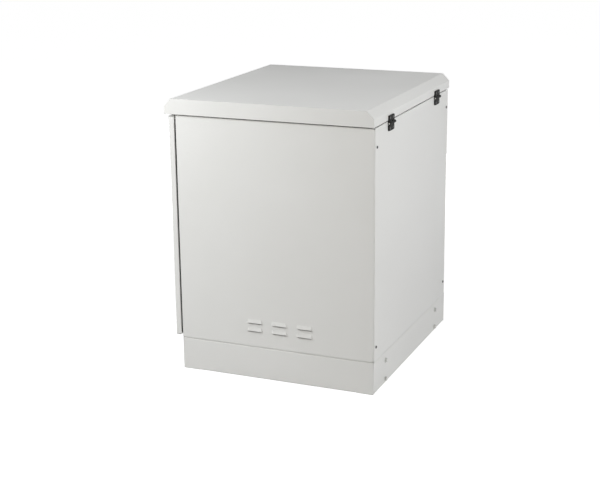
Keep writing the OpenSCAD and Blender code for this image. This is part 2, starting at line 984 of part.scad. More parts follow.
// Mounting rails between the rear returns, mounting plate and its bolts
module mounting_rail(low) {
  color(zinc)
    difference() {
      facing_front(rail_half_w, rail_front_y, low)
        folded_pan([2 * rail_half_w, rail_h], [[0, 0, 0], [0, 0, 0], [rail_depth, 0, 0], [rail_depth, 0, 0]],
          sheet_t, fold_r);
      at_plate_bolts()
        translate([0, 0, -plate_t - sheet_t - overrun])
          cylinder(d = plate_bolt_d + 2 * hole_gap, h = sheet_t + 2 * overrun);
    }
}

module upper_mounting_rail() { mounting_rail(rail_top_z); }

module lower_mounting_rail() { mounting_rail(rail_low_z); }

module at_plate_bolts() {
  for (side = [-1, 1])
    for (z = [rail_low_z, rail_top_z])
      translate([side * (plate_w / 2 - plate_bolt_in), plate_front_y, z + rail_h / 2])
        rotate([90, 0, 0])
          children();
}

module at_equipment_screws() {
  for (side = [-1, 1])
    for (z = equipment_zs)
      translate([side * (equipment_w / 2 - equipment_screw_in), plate_front_y, z])
        rotate([90, 0, 0])
          children();
}

module at_earth_ends() {
  for (side = [-1, 1])
    translate([side * (earth_w / 2 - earth_end), plate_front_y, plate_z + earth_low])
      rotate([90, 0, 0])
        children();
}

module mounting_plate() {
  color(zinc)
    difference() {
      translate([-plate_w / 2, plate_front_y, plate_z])
        cube([plate_w, plate_t, plate_h]);
      at_plate_bolts()
        translate([0, 0, -plate_t - overrun])
          cylinder(d = plate_bolt_d + 2 * hole_gap, h = plate_t + 2 * overrun);
      at_equipment_screws()
        translate([0, 0, -plate_t - overrun])
          cylinder(d = equipment_screw_d + 2 * hole_gap, h = plate_t + 2 * overrun);
    }
}

module plate_bolts() {
  color(steel)
    at_plate_bolts()
      hex_bolt(plate_bolt_d, plate_bolt_af, plate_bolt_head, plate_bolt_l, plate_washer_d, plate_washer_t);
}

module plate_nuts() {
  color(steel)
    at_plate_bolts()
      translate([0, 0, -plate_t - sheet_t - plate_nut_h])
        hex_nut(plate_bolt_d + 2 * thread_gap, plate_bolt_af, plate_nut_h);
}

module equipment_rail(z) {
  color(steel)
    difference() {
      translate([-equipment_w / 2, plate_front_y - equipment_depth, z])
        rotate([0, 90, 0])
          linear_extrude(equipment_w)
            hat_section(equipment_crown, equipment_depth, equipment_wing, equipment_t);
      at_equipment_screws()
        translate([0, 0, -overrun])
          cylinder(d = equipment_screw_d + 2 * hole_gap, h = equipment_t + 2 * overrun);
    }
}

module upper_equipment_rail() { equipment_rail(equipment_zs[1]); }

module lower_equipment_rail() { equipment_rail(equipment_zs[0]); }

module equipment_rail_screws() {
  color(steel)
    at_equipment_screws()
      translate([0, 0, equipment_t])
        pan_screw(equipment_screw_d, equipment_head_d, equipment_head_h, equipment_screw_l);
}

// Earth bar on two stand-offs, with a row of terminal screws
module at_earth_screws() {
  pitch = (earth_w - 2 * earth_end) / earth_steps;
  for (i = [0 : earth_steps])
    translate([earth_end - earth_w / 2 + i * pitch, plate_front_y - earth_standoff_l - earth_t,
        plate_z + earth_low])
      rotate([90, 0, 0])
        children();
}

module earth_standoffs() {
  color(black)
    at_earth_ends()
      difference() {
        cylinder(d = earth_standoff_d, h = earth_standoff_l);
        translate([0, 0, earth_standoff_l + earth_t - earth_screw_l - overrun])
          cylinder(d = earth_screw_d + 2 * thread_gap, h = earth_screw_l + overrun);
      }
}

module earth_bar() {
  color(copper)
    difference() {
      translate([-earth_w / 2, plate_front_y - earth_standoff_l - earth_t, plate_z + earth_low - earth_h / 2])
        cube([earth_w, earth_t, earth_h]);
      at_earth_screws()
        translate([0, 0, -earth_t - overrun])
          cylinder(d = earth_screw_d + 2 * thread_gap, h = earth_t + 2 * overrun);
    }
}

module earth_screws() {
  color(steel)
    at_earth_screws()
      hex_bolt(earth_screw_d, earth_head_af, earth_head_h, earth_screw_l, earth_head_af, 0);
}

// Lid: a box of sheet, sloped along its front and rear edges, with a return under its skirt
function lid_outline(inset, low) = let (cut = inset * (sqrt(2) - 1)) [
  [lid_front_y + inset, low], [lid_rear_y - inset, low], [lid_rear_y - inset, lid_fold_z - cut],
  [lid_rear_y - lid_chamfer - cut, lid_top_z - inset], [lid_front_y + lid_chamfer + cut, lid_top_z - inset],
  [lid_front_y + inset, lid_fold_z - cut]
];

module lid_shell() {
  mouth_x = half_w - lid_return;
  mouth_front = lid_front_return - half_d;
  color(paint)
    difference() {
      along_x(2 * lid_half_w)
        polygon(lid_outline(0, lid_z));
      along_x(2 * (lid_half_w - sheet_t))
        polygon(lid_outline(sheet_t, lid_z + sheet_t));
      translate([-mouth_x, mouth_front, lid_z - overrun])
        cube([2 * mouth_x, half_d - lid_return - mouth_front, sheet_t + 2 * overrun]);
      for (side = [-1, 1])
        for (y = [lid_front_y + lid_chamfer, lid_rear_y - lid_chamfer])
          translate([side * lid_half_w, y, lid_top_z])
            sphere(r = relief_r);
      at_hinge_screws(lid_rear_y, 1)
        translate([0, 0, -sheet_t - overrun])
          cylinder(d = hinge_screw_d + 2 * hole_gap, h = sheet_t + 2 * overrun);
    }
}

module lid_stiffener() {
  color(paint)
    translate([0, (lid_front_y + lid_rear_y) / 2, lid_under_z])
      mirror([0, 0, 1])
        along_x(stiffener_l)
          hat_section(stiffener_w, stiffener_depth, stiffener_wing, sheet_t);
}

// Keeper on the front return of the lid: a hook whose toe lies under the bolt when it is shot
module lid_keeper() {
  foot_z = lid_z + sheet_t;
  toe_z = bolt_z - bolt_d / 2 - keeper_clear - keeper_t;
  color(zinc) {
    translate([0, keeper_y - keeper_lap, foot_z])
      cube([keeper_w, keeper_lap + keeper_t, keeper_t]);
    translate([0, keeper_y, toe_z])
      cube([keeper_w, keeper_t, foot_z + keeper_t - toe_z]);
    translate([0, keeper_y, toe_z])
      cube([keeper_w, keeper_toe, keeper_t]);
  }
}

// Bolt that locks the lid, with its two guides under the header
function guide_x(i) = -bolt_clear - bolt_guide_lead - guide_w - i * (guide_w + guide_gap);

module bolt_guides() {
  under = top_z - sheet_t;
  front = frame_flange - half_d - guide_lap;
  color(zinc)
    for (i = [0, 1])
      difference() {
        translate([guide_x(i), front, bolt_z - guide_below])
          cube([guide_w, bolt_y + guide_nose - front, under - bolt_z + guide_below]);
        translate([guide_x(i) - overrun, bolt_y, bolt_z])
          rotate([0, 90, 0])
            cylinder(d = bolt_d + 2 * run_gap, h = guide_w + 2 * overrun);
      }
}

module bolt_rod() {
  tail = guide_x(1) - bolt_tail;
  color(steel) {
    translate([tail, bolt_y, bolt_z])
      rotate([0, 90, 0])
        cylinder(d = bolt_d, h = -bolt_clear - tail);
    translate([guide_x(0) - guide_gap + knob_clear + knob_d / 2, bolt_y, bolt_z - knob_l])
      cylinder(d = knob_d, h = knob_l);
  }
}

// Lid stay: a rod with an eye on a stud under the lid, a clip that holds it, and a socket on the frame
module stay_bracket() {
  ear_x = stay_x + stay_eye_w / 2 + fit_gap;
  color(zinc) {
    translate([ear_x, stay_y - stay_ear_w / 2, lid_under_z - stay_ear_t])
      cube([stay_foot, stay_ear_w, stay_ear_t]);
    translate([ear_x, stay_y - stay_ear_w / 2, stay_z - stay_ear_below])
      cube([stay_ear_t, stay_ear_w, lid_under_z - stay_z + stay_ear_below]);
    translate([stay_x - stay_eye_w / 2 - stay_pin_tail, stay_y, stay_z])
      rotate([0, 90, 0])
        cylinder(d = stay_pin_d, h = stay_eye_w + stay_pin_tail + 2 * fit_gap);
  }
}

module stay_rod() {
  color(zinc)
    difference() {
      union() {
        translate([stay_x - stay_eye_w / 2, stay_y, stay_z])
          rotate([0, 90, 0])
            cylinder(d = stay_eye_d, h = stay_eye_w);
        translate([stay_x, stay_y, stay_z])
          rotate([90, 0, 0])
            cylinder(d = stay_d, h = stay_l);
      }
      translate([stay_x - stay_eye_w / 2 - overrun, stay_y, stay_z])
        rotate([0, 90, 0])
          cylinder(d = stay_pin_d + 2 * run_gap, h = stay_eye_w + 2 * overrun);
    }
}

module stay_clip() {
  bore = stay_d + 2 * stay_clip_gap;
  color(black)
    difference() {
      translate([stay_x - stay_clip_w / 2, stay_clip_y, stay_z - stay_clip_below])
        cube([stay_clip_w, stay_clip_l, lid_under_z - stay_z + stay_clip_below]);
      translate([stay_x, stay_clip_y - overrun, stay_z])
        rotate([-90, 0, 0])
          cylinder(d = bore, h = stay_clip_l + 2 * overrun);
      translate([stay_x - bore / 2, stay_clip_y - overrun, stay_z - stay_clip_below - overrun])
        cube([bore, stay_clip_l + 2 * overrun, stay_clip_below + overrun]);
    }
}

module stay_socket() {
  edge = half_w - frame_flange;
  color(zinc)
    difference() {
      translate([stay_x - stay_socket_nose, stay_socket_y - stay_socket_w / 2,
          top_z - sheet_t - stay_socket_t])
        cube([edge + stay_socket_lap - stay_x + stay_socket_nose, stay_socket_w, stay_socket_t]);
      translate([stay_x, stay_socket_y, top_z - sheet_t - stay_socket_t - overrun])
        cylinder(d = stay_d + 2 * stay_socket_gap, h = stay_socket_t + 2 * overrun);
    }
}

// Door: a pan with lips, its seal and a stiffener
module door_panel() {
  color(paint)
    difference() {
      facing_front(half_w, door_front_y, door_low_z)
        folded_pan([cabinet_w, door_h],
          [[door_depth, door_lip, outer_r], [door_depth, door_hinge_lip, outer_r],
           [door_depth, door_lip, 0], [door_depth, door_lip, 0]], sheet_t, fold_r);
      at_locks()
        translate([0, 0, -overrun])
          cylinder(d = lock_barrel_d + 2 * hole_gap, h = sheet_t + 2 * overrun);
    }
}

module door_gasket() {
  out = [door_seal_hinge_in - half_w, door_seal_in, half_w - door_seal_in, door_h - door_seal_in];
  w = door_seal_w;
  color(seal)
    translate([0, door_back_y, door_low_z])
      rotate([90, 0, 0])
        mirror([0, 0, 1])
          seal_ring(out, [out[0] + w, out[1] + w, out[2] - w, out[3] - w], door_gap - seal_gap);
}

module door_stiffener() {
  color(paint)
    translate([0, door_front_y + sheet_t, door_low_z + door_stiffener_end])
      linear_extrude(door_h - 2 * door_stiffener_end)
        hat_section(stiffener_w, door_stiffener_depth, stiffener_wing, sheet_t);
}

// Quarter-turn locks, each along +Y from the front face of the door
module at_lock(z) {
  translate([lock_x, door_front_y, z])
    rotate([-90, 0, 0])
      children();
}

module at_locks() {
  for (z = [lock_low_z, lock_top_z])
    at_lock(z)
      children();
}

lock_body_l = -half_d - lock_tip - door_front_y;
cam_at = cam_y - door_front_y;

module lock_housings() {
  color(black)
    at_locks()
      difference() {
        union() {
          translate([0, 0, -lock_bezel_t])
            cylinder(d1 = lock_bezel_d - lock_bezel_t, d2 = lock_bezel_d, h = lock_bezel_t);
          cylinder(d = lock_barrel_d, h = lock_body_l);
        }
        translate([0, 0, -lock_bezel_t - overrun])
          cylinder(d = lock_rotor_d + 2 * run_gap, h = lock_bezel_t + lock_body_l + 2 * overrun);
      }
}

module lock_nuts() {
  color(steel)
    at_locks()
      translate([0, 0, sheet_t])
        hex_nut(lock_barrel_d + 2 * thread_gap, lock_nut_af, lock_nut_h);
}

module lock_rotor(z) {
  start = lock_recess - lock_bezel_t;
  color(steel)
    at_lock(z)
      difference() {
        union() {
          translate([0, 0, start])
            cylinder(d = lock_rotor_d, h = lock_body_l + lock_tip - start);
          translate([-lock_square / 2, -lock_square / 2, lock_body_l])
            cube([lock_square, lock_square, cam_at + cam_t - lock_body_l]);
        }
        translate([-lock_square / 2, -lock_square / 2, start - overrun])
          cube([lock_square, lock_square, lock_drive + overrun]);
        translate([0, 0, cam_at + cam_t - cam_screw_l])
          cylinder(d = cam_screw_d + 2 * thread_gap, h = cam_screw_l + overrun);
      }
}

module lock_cam(z) {
  hole = lock_square + 2 * cam_gap;
  color(steel)
    at_lock(z)
      difference() {
        translate([0, 0, cam_at])
          linear_extrude(cam_t) {
            circle(d = cam_w);
            translate([-cam_w / 2, -cam_l])
              square([cam_w, cam_l]);
          }
        translate([-hole / 2, -hole / 2, cam_at - overrun])
          cube([hole, hole, cam_t + 2 * overrun]);
      }
}

module cam_screw(z) {
  color(steel)
    at_lock(z)
      translate([0, 0, cam_at + cam_t])
        hex_bolt(cam_screw_d, cam_head_af, cam_head_h, cam_screw_l - fit_gap, cam_w, sheet_t);
}

module upper_lock_rotor() { lock_rotor(lock_top_z); }

module upper_lock_cam() { lock_cam(lock_top_z); }

module upper_cam_screw() { cam_screw(lock_top_z); }

module lower_lock_rotor() { lock_rotor(lock_low_z); }

module lower_lock_cam() { lock_cam(lock_low_z); }

module lower_cam_screw() { cam_screw(lock_low_z); }

plinth_front();
plinth_rear();
plinth_left();
plinth_right();
anchor_angles();
plinth_bolts();
plinth_nuts();
floor_tray();
gland_plate();
gland_gasket();
gland_screws();
right_panel();
left_panel();
rear_panel();
rear_screws();
right_jamb();
left_jamb();
door_header();
door_sill();
lid_gasket();
lid_hinge_lower_leaves();
lid_hinge_pins();
lid_hinge_lower_screws();
door_hinge_frame_halves();
upper_mounting_rail();
lower_mounting_rail();
mounting_plate();
plate_bolts();
plate_nuts();
upper_equipment_rail();
lower_equipment_rail();
equipment_rail_screws();
earth_bar();
earth_standoffs();
earth_screws();
bolt_guides();
stay_socket();
lid_shell();
lid_stiffener();
lid_hinge_upper_leaves();
lid_hinge_upper_screws();
lid_keeper();
stay_bracket();
stay_clip();
door_panel();
door_gasket();
door_stiffener();
door_hinge_door_halves();
lock_housings();
lock_nuts();
upper_lock_rotor();
upper_lock_cam();
upper_cam_screw();
lower_lock_rotor();
lower_lock_cam();
lower_cam_screw();
stay_rod();
bolt_rod();
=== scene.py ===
"""Looks of a roadside utility cabinet.

Its surfaces are powder-coated sheet steel, black lid hinges, plated fasteners and foam seals.
"""

import json
import logging
import math
from collections.abc import Callable
from dataclasses import dataclass
from enum import Enum
from typing import Any

import bmesh
import bpy
from mathutils import Matrix, Vector

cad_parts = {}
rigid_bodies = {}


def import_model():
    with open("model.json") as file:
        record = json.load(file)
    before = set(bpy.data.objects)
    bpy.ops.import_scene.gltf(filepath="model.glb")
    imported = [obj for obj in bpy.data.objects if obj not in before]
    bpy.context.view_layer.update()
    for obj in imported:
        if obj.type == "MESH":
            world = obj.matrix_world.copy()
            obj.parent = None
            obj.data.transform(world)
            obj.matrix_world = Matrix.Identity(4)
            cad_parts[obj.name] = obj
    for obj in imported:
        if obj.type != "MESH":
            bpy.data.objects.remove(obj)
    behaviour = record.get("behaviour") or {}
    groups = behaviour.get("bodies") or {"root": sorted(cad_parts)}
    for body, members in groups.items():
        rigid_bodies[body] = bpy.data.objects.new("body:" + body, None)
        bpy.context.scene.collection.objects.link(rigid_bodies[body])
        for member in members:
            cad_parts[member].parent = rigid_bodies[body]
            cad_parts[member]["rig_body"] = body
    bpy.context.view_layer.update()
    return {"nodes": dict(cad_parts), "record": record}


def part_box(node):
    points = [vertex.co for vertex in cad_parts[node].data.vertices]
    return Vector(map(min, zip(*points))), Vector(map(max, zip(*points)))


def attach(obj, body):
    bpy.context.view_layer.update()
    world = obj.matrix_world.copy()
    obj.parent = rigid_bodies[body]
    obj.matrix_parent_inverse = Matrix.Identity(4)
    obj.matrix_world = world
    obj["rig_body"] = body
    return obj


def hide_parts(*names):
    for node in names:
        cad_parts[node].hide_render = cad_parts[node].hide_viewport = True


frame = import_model()
LOG = logging.getLogger("cabinet")
MM = 0.001
TINY = 1e-6
WHITE = "#FFFFFF"

# Cone that cuts the corners of a hexagon, and the round face it leaves, as a share of the width across flats
CONE_SLOPE = math.tan(math.radians(30))
FACE_SHARE = 0.95

# Form of a thread, in shares of its pitch
THREAD_DEPTH = 0.6
TIP_INSET = 0.3
TIP_RISE = 0.4
FIRST_CREST = 0.9
CREST_HALF = 0.1
ROOT_AFTER = 0.5

Ring = list[bmesh.types.BMVert]
Shape = Callable[[float], tuple[float, float]]


class Slot(Enum):
    """Material slots of the record."""

    PAINT = "paint"
    ZINC_PLATE = "zinc_plate"
    BOLT_STEEL = "bolt_steel"
    DARK_STEEL = "dark_steel"
    BLACK_HINGE = "black_hinge"
    SEAL = "seal"
    EARTH_BRASS = "earth_brass"


class Axis(Enum):
    """Ways in which the head of a fastener looks, outward being away from the cabinet's middle."""

    FRONT = "front"
    REAR = "rear"
    UP = "up"
    OUTWARD = "outward"
    INWARD = "inward"


class Head(Enum):
    """Heads of a screw: rings from the seat up, as shares of the radius and of the height below the top."""

    DOMED = ((0.96, 1.0), (1.0, 0.9), (1.0, 0.7), (0.93, 0.38), (0.8, 0.16), (0.62, 0.03))
    FLAT = ((0.96, 1.0), (1.0, 0.88), (1.0, 0.12), (0.94, 0.0))


FIXED_WAYS: dict[Axis, tuple[float, float, float]] = {
    Axis.FRONT: (0.0, -1.0, 0.0),
    Axis.REAR: (0.0, 1.0, 0.0),
    Axis.UP: (0.0, 0.0, 1.0),
}


# Helpers for colours, shader nodes and the solids of a node
def linear(code: str) -> tuple[float, float, float, float]:
    """Turn an sRGB hex colour into linear light.

    Args:
        code: Six hex digits after a hash sign.

    Returns:
        Red, green, blue and an alpha of one.
    """
    parts = [int(code[i : i + 2], 16) / 255 for i in (1, 3, 5)]
    red, green, blue = (p / 12.92 if p <= 0.04045 else ((p + 0.055) / 1.055) ** 2.4 for p in parts)
    return red, green, blue, 1.0


def per_metre(size_mm: float) -> float:
    """Texture scale, in repeats per metre, of a pattern with this size in millimetres."""
    return 1000.0 / size_mm


def add_node(
    tree: bpy.types.NodeTree,
    kind: str,
    settings: dict[str, Any] | None = None,
    inputs: dict[str | int, Any] | None = None,
) -> bpy.types.Node:
    """Add a shader node with its settings and links.

    Args:
        tree: Node tree that takes the node.
        kind: Blender's name of the node type.
        settings: Properties of the node.
        inputs: Values for its input sockets, or output sockets to link to them.

    Returns:
        The new node.
    """
    node = tree.nodes.new(kind)
    for name, value in (settings or {}).items():
        setattr(node, name, value)
    for key, value in (inputs or {}).items():
        if isinstance(value, bpy.types.NodeSocket):
            tree.links.new(value, node.inputs[key])
        else:
            node.inputs[key].default_value = value
    return node


def islands(node: str) -> list[tuple[Vector, Vector]]:
    """Find the separate solids of a CAD node.

    Args:
        node: Name of the node.

    Returns:
        The lowest and highest corner of each solid.
    """
    bm = bmesh.new()
    bm.from_mesh(frame["nodes"][node].data)
    bmesh.ops.remove_doubles(bm, verts=bm.verts, dist=TINY)
    seen: set[bmesh.types.BMVert] = set()
    boxes = []
    for start in bm.verts:
        if start in seen:
            continue
        seen.add(start)
        stack = [start]
        points = []
        while stack:
            vert = stack.pop()
            points.append(vert.co.copy())
            for edge in vert.link_edges:
                other = edge.other_vert(vert)
                if other not in seen:
                    seen.add(other)
                    stack.append(other)
        low = Vector([min(p[i] for p in points) for i in range(3)])
        high = Vector([max(p[i] for p in points) for i in range(3)])
        boxes.append((low, high))
    bm.free()
    return boxes


def body_of(node: str) -> str:
    """Name of the body that a CAD node rides on."""
    return frame["nodes"][node]["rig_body"]


def slot_of(node: str) -> Slot:
    """Material slot that the record gives a CAD node."""
    return next(Slot(s["material_slot"]) for s in frame["record"]["subparts"] if s["node"] == node)


# Finishes, each named for a real material and for how its surface was made
@dataclass(frozen=True)
class Finish:
    """A real material with its typical values, and the pattern that its making leaves."""

    name: str
    colour: str
    roughness: float
    metallic: float = 0.0

    def make(self) -> bpy.types.Material:
        """Build the material.

        Returns:
            A node material in object coordinates, which are metres here.
        """
        material = bpy.data.materials.new(self.name)
        material.use_nodes = True
        material.diffuse_color = linear(self.colour)
        tree = material.node_tree
        tree.nodes.clear()
        values = {"Base Color": linear(self.colour), "Roughness": self.roughness, "Metallic": self.metallic}
        shader = add_node(tree, "ShaderNodeBsdfPrincipled", inputs=values)
        add_node(tree, "ShaderNodeOutputMaterial", inputs={"Surface": shader.outputs["BSDF"]})
        place = add_node(tree, "ShaderNodeTexCoord").outputs["Object"]
        self.dress(tree, shader, place)
        return material

    def dress(self, tree: bpy.types.NodeTree, shader: bpy.types.Node, place: bpy.types.NodeSocket) -> None:
        """Add the pattern of this finish.

        Args:
            tree: Node tree of the material.
            shader: Its Principled shader.
            place: Object coordinates.
        """
        raise NotImplementedError(self.name)


@dataclass(frozen=True)
class PowderCoat(Finish):
    """Polyester powder coat, sprayed on folded steel sheet and baked.

    The eye sees a satin, faintly warm grey with a soft orange peel, a slow drift of tone where the spray was
    thicker, the gentle wave of the thin sheet behind it, and edges that the coat has rounded.
    """

    ior: float = 1.5
    thin_colour: str = "#D6D6D2"
    peel_mm: float = 6.0
    peel_detail: float = 1.0
    peel_depth_mm: float = 0.02
    drift_mm: float = 260.0
    wave_mm: float = 330.0
    wave_detail: float = 0.0
    wave_depth_mm: float = 0.5
    edge_mm: float = 1.6
    edge_samples: int = 6
    rough_spread: float = 0.06
    thin_at: float = 0.3
    thick_at: float = 0.7

    def dress(self, tree: bpy.types.NodeTree, shader: bpy.types.Node, place: bpy.types.NodeSocket) -> None:
        """Add drift of tone, gloss spread, sheet wave, orange peel and soft edges.

        Args:
            tree: Node tree of the material.
            shader: Its Principled shader.
            place: Object coordinates.
        """
        shader.inputs["IOR"].default_value = self.ior
        drift = add_node(
            tree, "ShaderNodeTexNoise", inputs={"Vector": place, "Scale": per_metre(self.drift_mm)}
        )
        tone = add_node(
            tree,
            "ShaderNodeMix",
            {"data_type": "RGBA"},
            {0: drift.outputs["Fac"], 6: linear(self.thin_colour), 7: linear(self.colour)},
        )
        tree.links.new(tone.outputs[2], shader.inputs["Base Color"])
        # Real peel is 1 to 2 mm across, too fine for the render, so it is drawn coarser
        peel = add_node(
            tree,
            "ShaderNodeTexNoise",
            inputs={"Vector": place, "Scale": per_metre(self.peel_mm), "Detail": self.peel_detail},
        )
        gloss = add_node(
            tree,
            "ShaderNodeMapRange",
            inputs={
                "Value": drift.outputs["Fac"],
                "From Min": self.thin_at,
                "From Max": self.thick_at,
                "To Min": self.roughness - self.rough_spread,
                "To Max": self.roughness + self.rough_spread,
            },
        )
        tree.links.new(gloss.outputs["Result"], shader.inputs["Roughness"])
        wave = add_node(
            tree,
            "ShaderNodeTexNoise",
            inputs={"Vector": place, "Scale": per_metre(self.wave_mm), "Detail": self.wave_detail},
        )
        edge = add_node(
            tree, "ShaderNodeBevel", {"samples": self.edge_samples}, {"Radius": self.edge_mm * MM}
        )
        sheet = add_node(
            tree,
            "ShaderNodeBump",
            inputs={
                "Distance": self.wave_depth_mm * MM,
                "Height": wave.outputs["Fac"],
                "Normal": edge.outputs["Normal"],
            },
        )
        coat = add_node(
            tree,
            "ShaderNodeBump",
            inputs={
                "Distance": self.peel_depth_mm * MM,
                "Height": peel.outputs["Fac"],
                "Normal": sheet.outputs["Normal"],
            },
        )
        tree.links.new(coat.outputs["Normal"], shader.inputs["Normal"])


@dataclass(frozen=True)
class GalvanisedSheet(Finish):
    """Hot-dip galvanised steel sheet, left bare.

    The eye sees a dull silver grey broken into frost-like zinc crystals, each with its own brightness.
    """

    dark_colour: str = "#A6AAAC"
    spangle_mm: float = 9.0
    bend_mm: float = 4.5
    bend_reach_mm: float = 3.0
    rough_spread: float = 0.05

    def dress(self, tree: bpy.types.NodeTree, shader: bpy.types.Node, place: bpy.types.NodeSocket) -> None:
        """Add the zinc crystals.

        Args:
            tree: Node tree of the material.
            shader: Its Principled shader.
            place: Object coordinates.
        """
        bend = add_node(
            tree, "ShaderNodeTexNoise", inputs={"Vector": place, "Scale": per_metre(self.bend_mm)}
        )
        bent = add_node(
            tree,
            "ShaderNodeMix",
            {"data_type": "VECTOR"},
            {0: self.bend_reach_mm * MM, 4: place, 5: bend.outputs["Color"]},
        )
        crystal = add_node(
            tree,
            "ShaderNodeTexVoronoi",
            inputs={"Vector": bent.outputs[1], "Scale": per_metre(self.spangle_mm)},
        )
        shade = add_node(tree, "ShaderNodeRGBToBW", inputs={"Color": crystal.outputs["Color"]})
        tone = add_node(
            tree,
            "ShaderNodeMix",
            {"data_type": "RGBA"},
            {0: shade.outputs["Val"], 6: linear(self.dark_colour), 7: linear(self.colour)},
        )
        tree.links.new(tone.outputs[2], shader.inputs["Base Color"])
        dull = add_node(
            tree,
            "ShaderNodeMapRange",
            inputs={
                "Value": shade.outputs["Val"],
                "To Min": self.roughness + self.rough_spread,
                "To Max": self.roughness - self.rough_spread,
            },
        )
        tree.links.new(dull.outputs["Result"], shader.inputs["Roughness"])


@dataclass(frozen=True)
class MouldedNylon(Finish):
    """Glass-filled nylon, moulded in a spark-eroded tool.

    The eye sees a soft black with a grey bloom, a fine even grit and rounded edges.
    """

    ior: float = 1.53
    bloom_colour: str = "#20201F"
    sheen_level: float = 0.16
    grit_mm: float = 1.2
    grit_depth_mm: float = 0.05
    grit_strength: float = 0.6
    bloom_mm: float = 14.0
    bloom_detail: float = 3.0
    edge_mm: float = 0.8
    edge_samples: int = 6

    def dress(self, tree: bpy.types.NodeTree, shader: bpy.types.Node, place: bpy.types.NodeSocket) -> None:
        """Add the bloom, the grit and soft edges.

        Args:
            tree: Node tree of the material.
            shader: Its Principled shader.
            place: Object coordinates.
        """
        shader.inputs["IOR"].default_value = self.ior
        shader.inputs["Specular IOR Level"].default_value = self.sheen_level
        bloom = add_node(
            tree,
            "ShaderNodeTexNoise",
            inputs={"Vector": place, "Scale": per_metre(self.bloom_mm), "Detail": self.bloom_detail},
        )
        tone = add_node(
            tree,
            "ShaderNodeMix",
            {"data_type": "RGBA"},
            {0: bloom.outputs["Fac"], 6: linear(self.colour), 7: linear(self.bloom_colour)},
        )
        tree.links.new(tone.outputs[2], shader.inputs["Base Color"])
        # Real grit is a fraction of a millimetre across, too fine for the render, so it is drawn coarser
        grit = add_node(
            tree, "ShaderNodeTexNoise", inputs={"Vector": place, "Scale": per_metre(self.grit_mm)}
        )
        edge = add_node(
            tree, "ShaderNodeBevel", {"samples": self.edge_samples}, {"Radius": self.edge_mm * MM}
        )
        skin = add_node(
            tree,
            "ShaderNodeBump",
            inputs={
                "Strength": self.grit_strength,
                "Distance": self.grit_depth_mm * MM,
                "Height": grit.outputs["Fac"],
                "Normal": edge.outputs["Normal"],
            },
        )
        tree.links.new(skin.outputs["Normal"], shader.inputs["Normal"])


@dataclass(frozen=True)
class PlatedSteel(Finish):
    """Cold-headed or turned steel with an electroplated skin.

    The eye sees an even metal sheen with small cloudy patches where the plating is thicker, and soft edges
    that catch the light.
    """

    cloud_colour: str = "#BABAB7"
    cloud_mm: float = 3.0
    cloud_detail: float = 3.0
    edge_mm: float = 0.4
    edge_samples: int = 4
    rough_spread: float = 0.08

    def dress(self, tree: bpy.types.NodeTree, shader: bpy.types.Node, place: bpy.types.NodeSocket) -> None:
        """Add the cloudy plating and soft edges.

        Args:
            tree: Node tree of the material.
            shader: Its Principled shader.
            place: Object coordinates.
        """
        cloud = add_node(
            tree,
            "ShaderNodeTexNoise",
            inputs={"Vector": place, "Scale": per_metre(self.cloud_mm), "Detail": self.cloud_detail},
        )
        tone = add_node(
            tree,
            "ShaderNodeMix",
            {"data_type": "RGBA"},
            {0: cloud.outputs["Fac"], 6: linear(self.cloud_colour), 7: linear(self.colour)},
        )
        tree.links.new(tone.outputs[2], shader.inputs["Base Color"])
        dull = add_node(
            tree,
            "ShaderNodeMapRange",
            inputs={
                "Value": cloud.outputs["Fac"],
                "To Min": self.roughness - self.rough_spread,
                "To Max": self.roughness + self.rough_spread,
            },
        )
        tree.links.new(dull.outputs["Result"], shader.inputs["Roughness"])
        edge = add_node(
            tree, "ShaderNodeBevel", {"samples": self.edge_samples}, {"Radius": self.edge_mm * MM}
        )
        tree.links.new(edge.outputs["Normal"], shader.inputs["Normal"])


@dataclass(frozen=True)
class FoamRubber(Finish):
    """Closed-cell rubber foam strip, cut from sheet.

    The eye sees a dull black full of tiny pores, greyer where the cells are cut open.
    """

    ior: float = 1.45
    pore_colour: str = "#2A2A2A"
    pore_mm: float = 1.5
    pore_depth_mm: float = 0.25
    pore_strength: float = 0.7

    def dress(self, tree: bpy.types.NodeTree, shader: bpy.types.Node, place: bpy.types.NodeSocket) -> None:
        """Add the pores.

        Args:
            tree: Node tree of the material.
            shader: Its Principled shader.
            place: Object coordinates.
        """
        shader.inputs["IOR"].default_value = self.ior
        # Real pores are less than a millimetre across, too fine for the render, so they are drawn coarser
        pores = add_node(
            tree, "ShaderNodeTexVoronoi", inputs={"Vector": place, "Scale": per_metre(self.pore_mm)}
        )
        tone = add_node(
            tree,
            "ShaderNodeMix",
            {"data_type": "RGBA"},
            {0: pores.outputs["Distance"], 6: linear(self.colour), 7: linear(self.pore_colour)},
        )
        tree.links.new(tone.outputs[2], shader.inputs["Base Color"])
        pits = add_node(
            tree,
            "ShaderNodeBump",
            inputs={
                "Strength": self.pore_strength,
                "Distance": self.pore_depth_mm * MM,
                "Height": pores.outputs["Distance"],
            },
        )
        tree.links.new(pits.outputs["Normal"], shader.inputs["Normal"])


